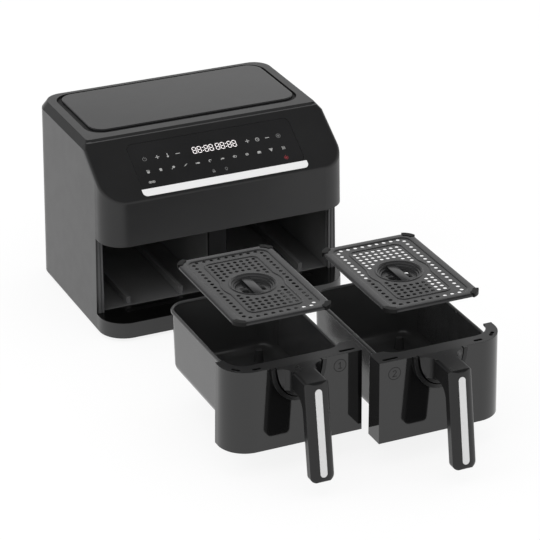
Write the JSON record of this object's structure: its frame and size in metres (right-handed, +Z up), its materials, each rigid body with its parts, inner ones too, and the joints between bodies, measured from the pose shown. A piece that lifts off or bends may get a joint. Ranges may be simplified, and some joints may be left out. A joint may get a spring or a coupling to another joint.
{
  "type": "air fryer",
  "caption": "Twin-drawer air fryer with a sloping touch panel, pull-out baskets with pistol-grip handles, lift-out perforated crisper plates and a fan over each hot chamber",
  "frame": {"origin": "middle of the footprint of the whole part at the counter, with the drawers out", "axes": "X to the right of someone facing the panel, Y from the drawers to the back, Z up"},
  "size_m": [0.39, 0.8747, 0.2845],
  "materials": {
    "housing_gloss": "glossy near-black moulding",
    "grip_satin": "satin dark moulding",
    "control_glass": "glossy black panel with pale symbols",
    "display": "dark display",
    "board_green": "coated circuit board",
    "bright_trim": "bright satin",
    "inner_black": "matt black moulding",
    "top_satin": "satin dark grey",
    "grille_black": "matt black",
    "soft_black": "soft matt black",
    "jamb_grey": "satin grey",
    "chamber_steel": "dull sheet steel",
    "heater_tube": "dark sheathed tube",
    "motor_steel": "plain steel",
    "fan_aluminium": "plain aluminium",
    "basket_coating": "dark non-stick coating",
    "plate_coating": "dark satin non-stick coating"
  },
  "bodies": {
    "housing": {"base_pan": "housing_gloss", "feet": "soft_black", "outer_shell": "housing_gloss", "front_fascia": "housing_gloss", "control_glass": "control_glass", "display_module": "display", "trim_bar": "bright_trim", "control_board": "board_green", "power_board": "board_green", "top_tray": "inner_black", "top_panel": "top_satin", "rear_grille": "grille_black", "cord_inlet": "inner_black", "sill_seal": "soft_black", "header_trim": "inner_black", "centre_divider": "inner_black", "drawer_sensors": "inner_black", "jamb_trim_left": "jamb_grey", "liner_left": "chamber_steel", "runner_rails_left": "chamber_steel", "heater_left": "heater_tube", "heater_guard_left": "chamber_steel", "motor_left": "motor_steel", "motor_bracket_left": "chamber_steel", "jamb_trim_right": "jamb_grey", "liner_right": "chamber_steel", "runner_rails_right": "chamber_steel", "heater_right": "heater_tube", "heater_guard_right": "chamber_steel", "motor_right": "motor_steel", "motor_bracket_right": "chamber_steel"},
    "fan_left": {"fan_shaft_left": "chamber_steel", "convection_fan_left": "fan_aluminium", "cooling_fan_left": "fan_aluminium"},
    "drawer_left": {"basket_left": "basket_coating", "drawer_front_left": "housing_gloss", "front_cover_left": "inner_black", "handle_left": "grip_satin", "handle_ring_left": "grip_satin", "handle_strip_left": "bright_trim"},
    "plate_left": {"crisper_plate_left": "plate_coating", "plate_bumpers_left": "soft_black"},
    "fan_right": {"fan_shaft_right": "chamber_steel", "convection_fan_right": "fan_aluminium", "cooling_fan_right": "fan_aluminium"},
    "drawer_right": {"basket_right": "basket_coating", "drawer_front_right": "housing_gloss", "front_cover_right": "inner_black", "handle_right": "grip_satin", "handle_ring_right": "grip_satin", "handle_strip_right": "bright_trim"},
    "plate_right": {"crisper_plate_right": "plate_coating", "plate_bumpers_right": "soft_black"}
  },
  "joints": [
    {"name": "drawer_slide_left", "type": "slide", "parent": "housing", "child": "drawer_left", "axis": [0, 0.9998, -0.0188], "range_m": [0, 0.44078]},
    {"name": "plate_lift_left", "type": "slide", "parent": "drawer_left", "child": "plate_left", "axis": [0, 0, 1], "range_m": [-0.14305, 0]},
    {"name": "fan_spin_left", "type": "hinge", "parent": "housing", "child": "fan_left", "pos_m": [-0.0981, 0.2985, 0.212], "axis": [0, 0, 1], "continuous": true},
    {"name": "drawer_slide_right", "type": "slide", "parent": "housing", "child": "drawer_right", "axis": [0, 0.9999, -0.017], "range_m": [0, 0.48777]},
    {"name": "plate_lift_right", "type": "slide", "parent": "drawer_right", "child": "plate_right", "axis": [0, 0, 1], "range_m": [-0.14305, 0]},
    {"name": "fan_spin_right", "type": "hinge", "parent": "housing", "child": "fan_right", "pos_m": [0.0981, 0.2985, 0.212], "axis": [0, 0, 1], "continuous": true}
  ],
  "couplings": [
    {"joint": "plate_lift_left", "follows": "drawer_slide_left", "ratio": -0.32443},
    {"joint": "plate_lift_right", "follows": "drawer_slide_right", "ratio": -0.29317}
  ]
}
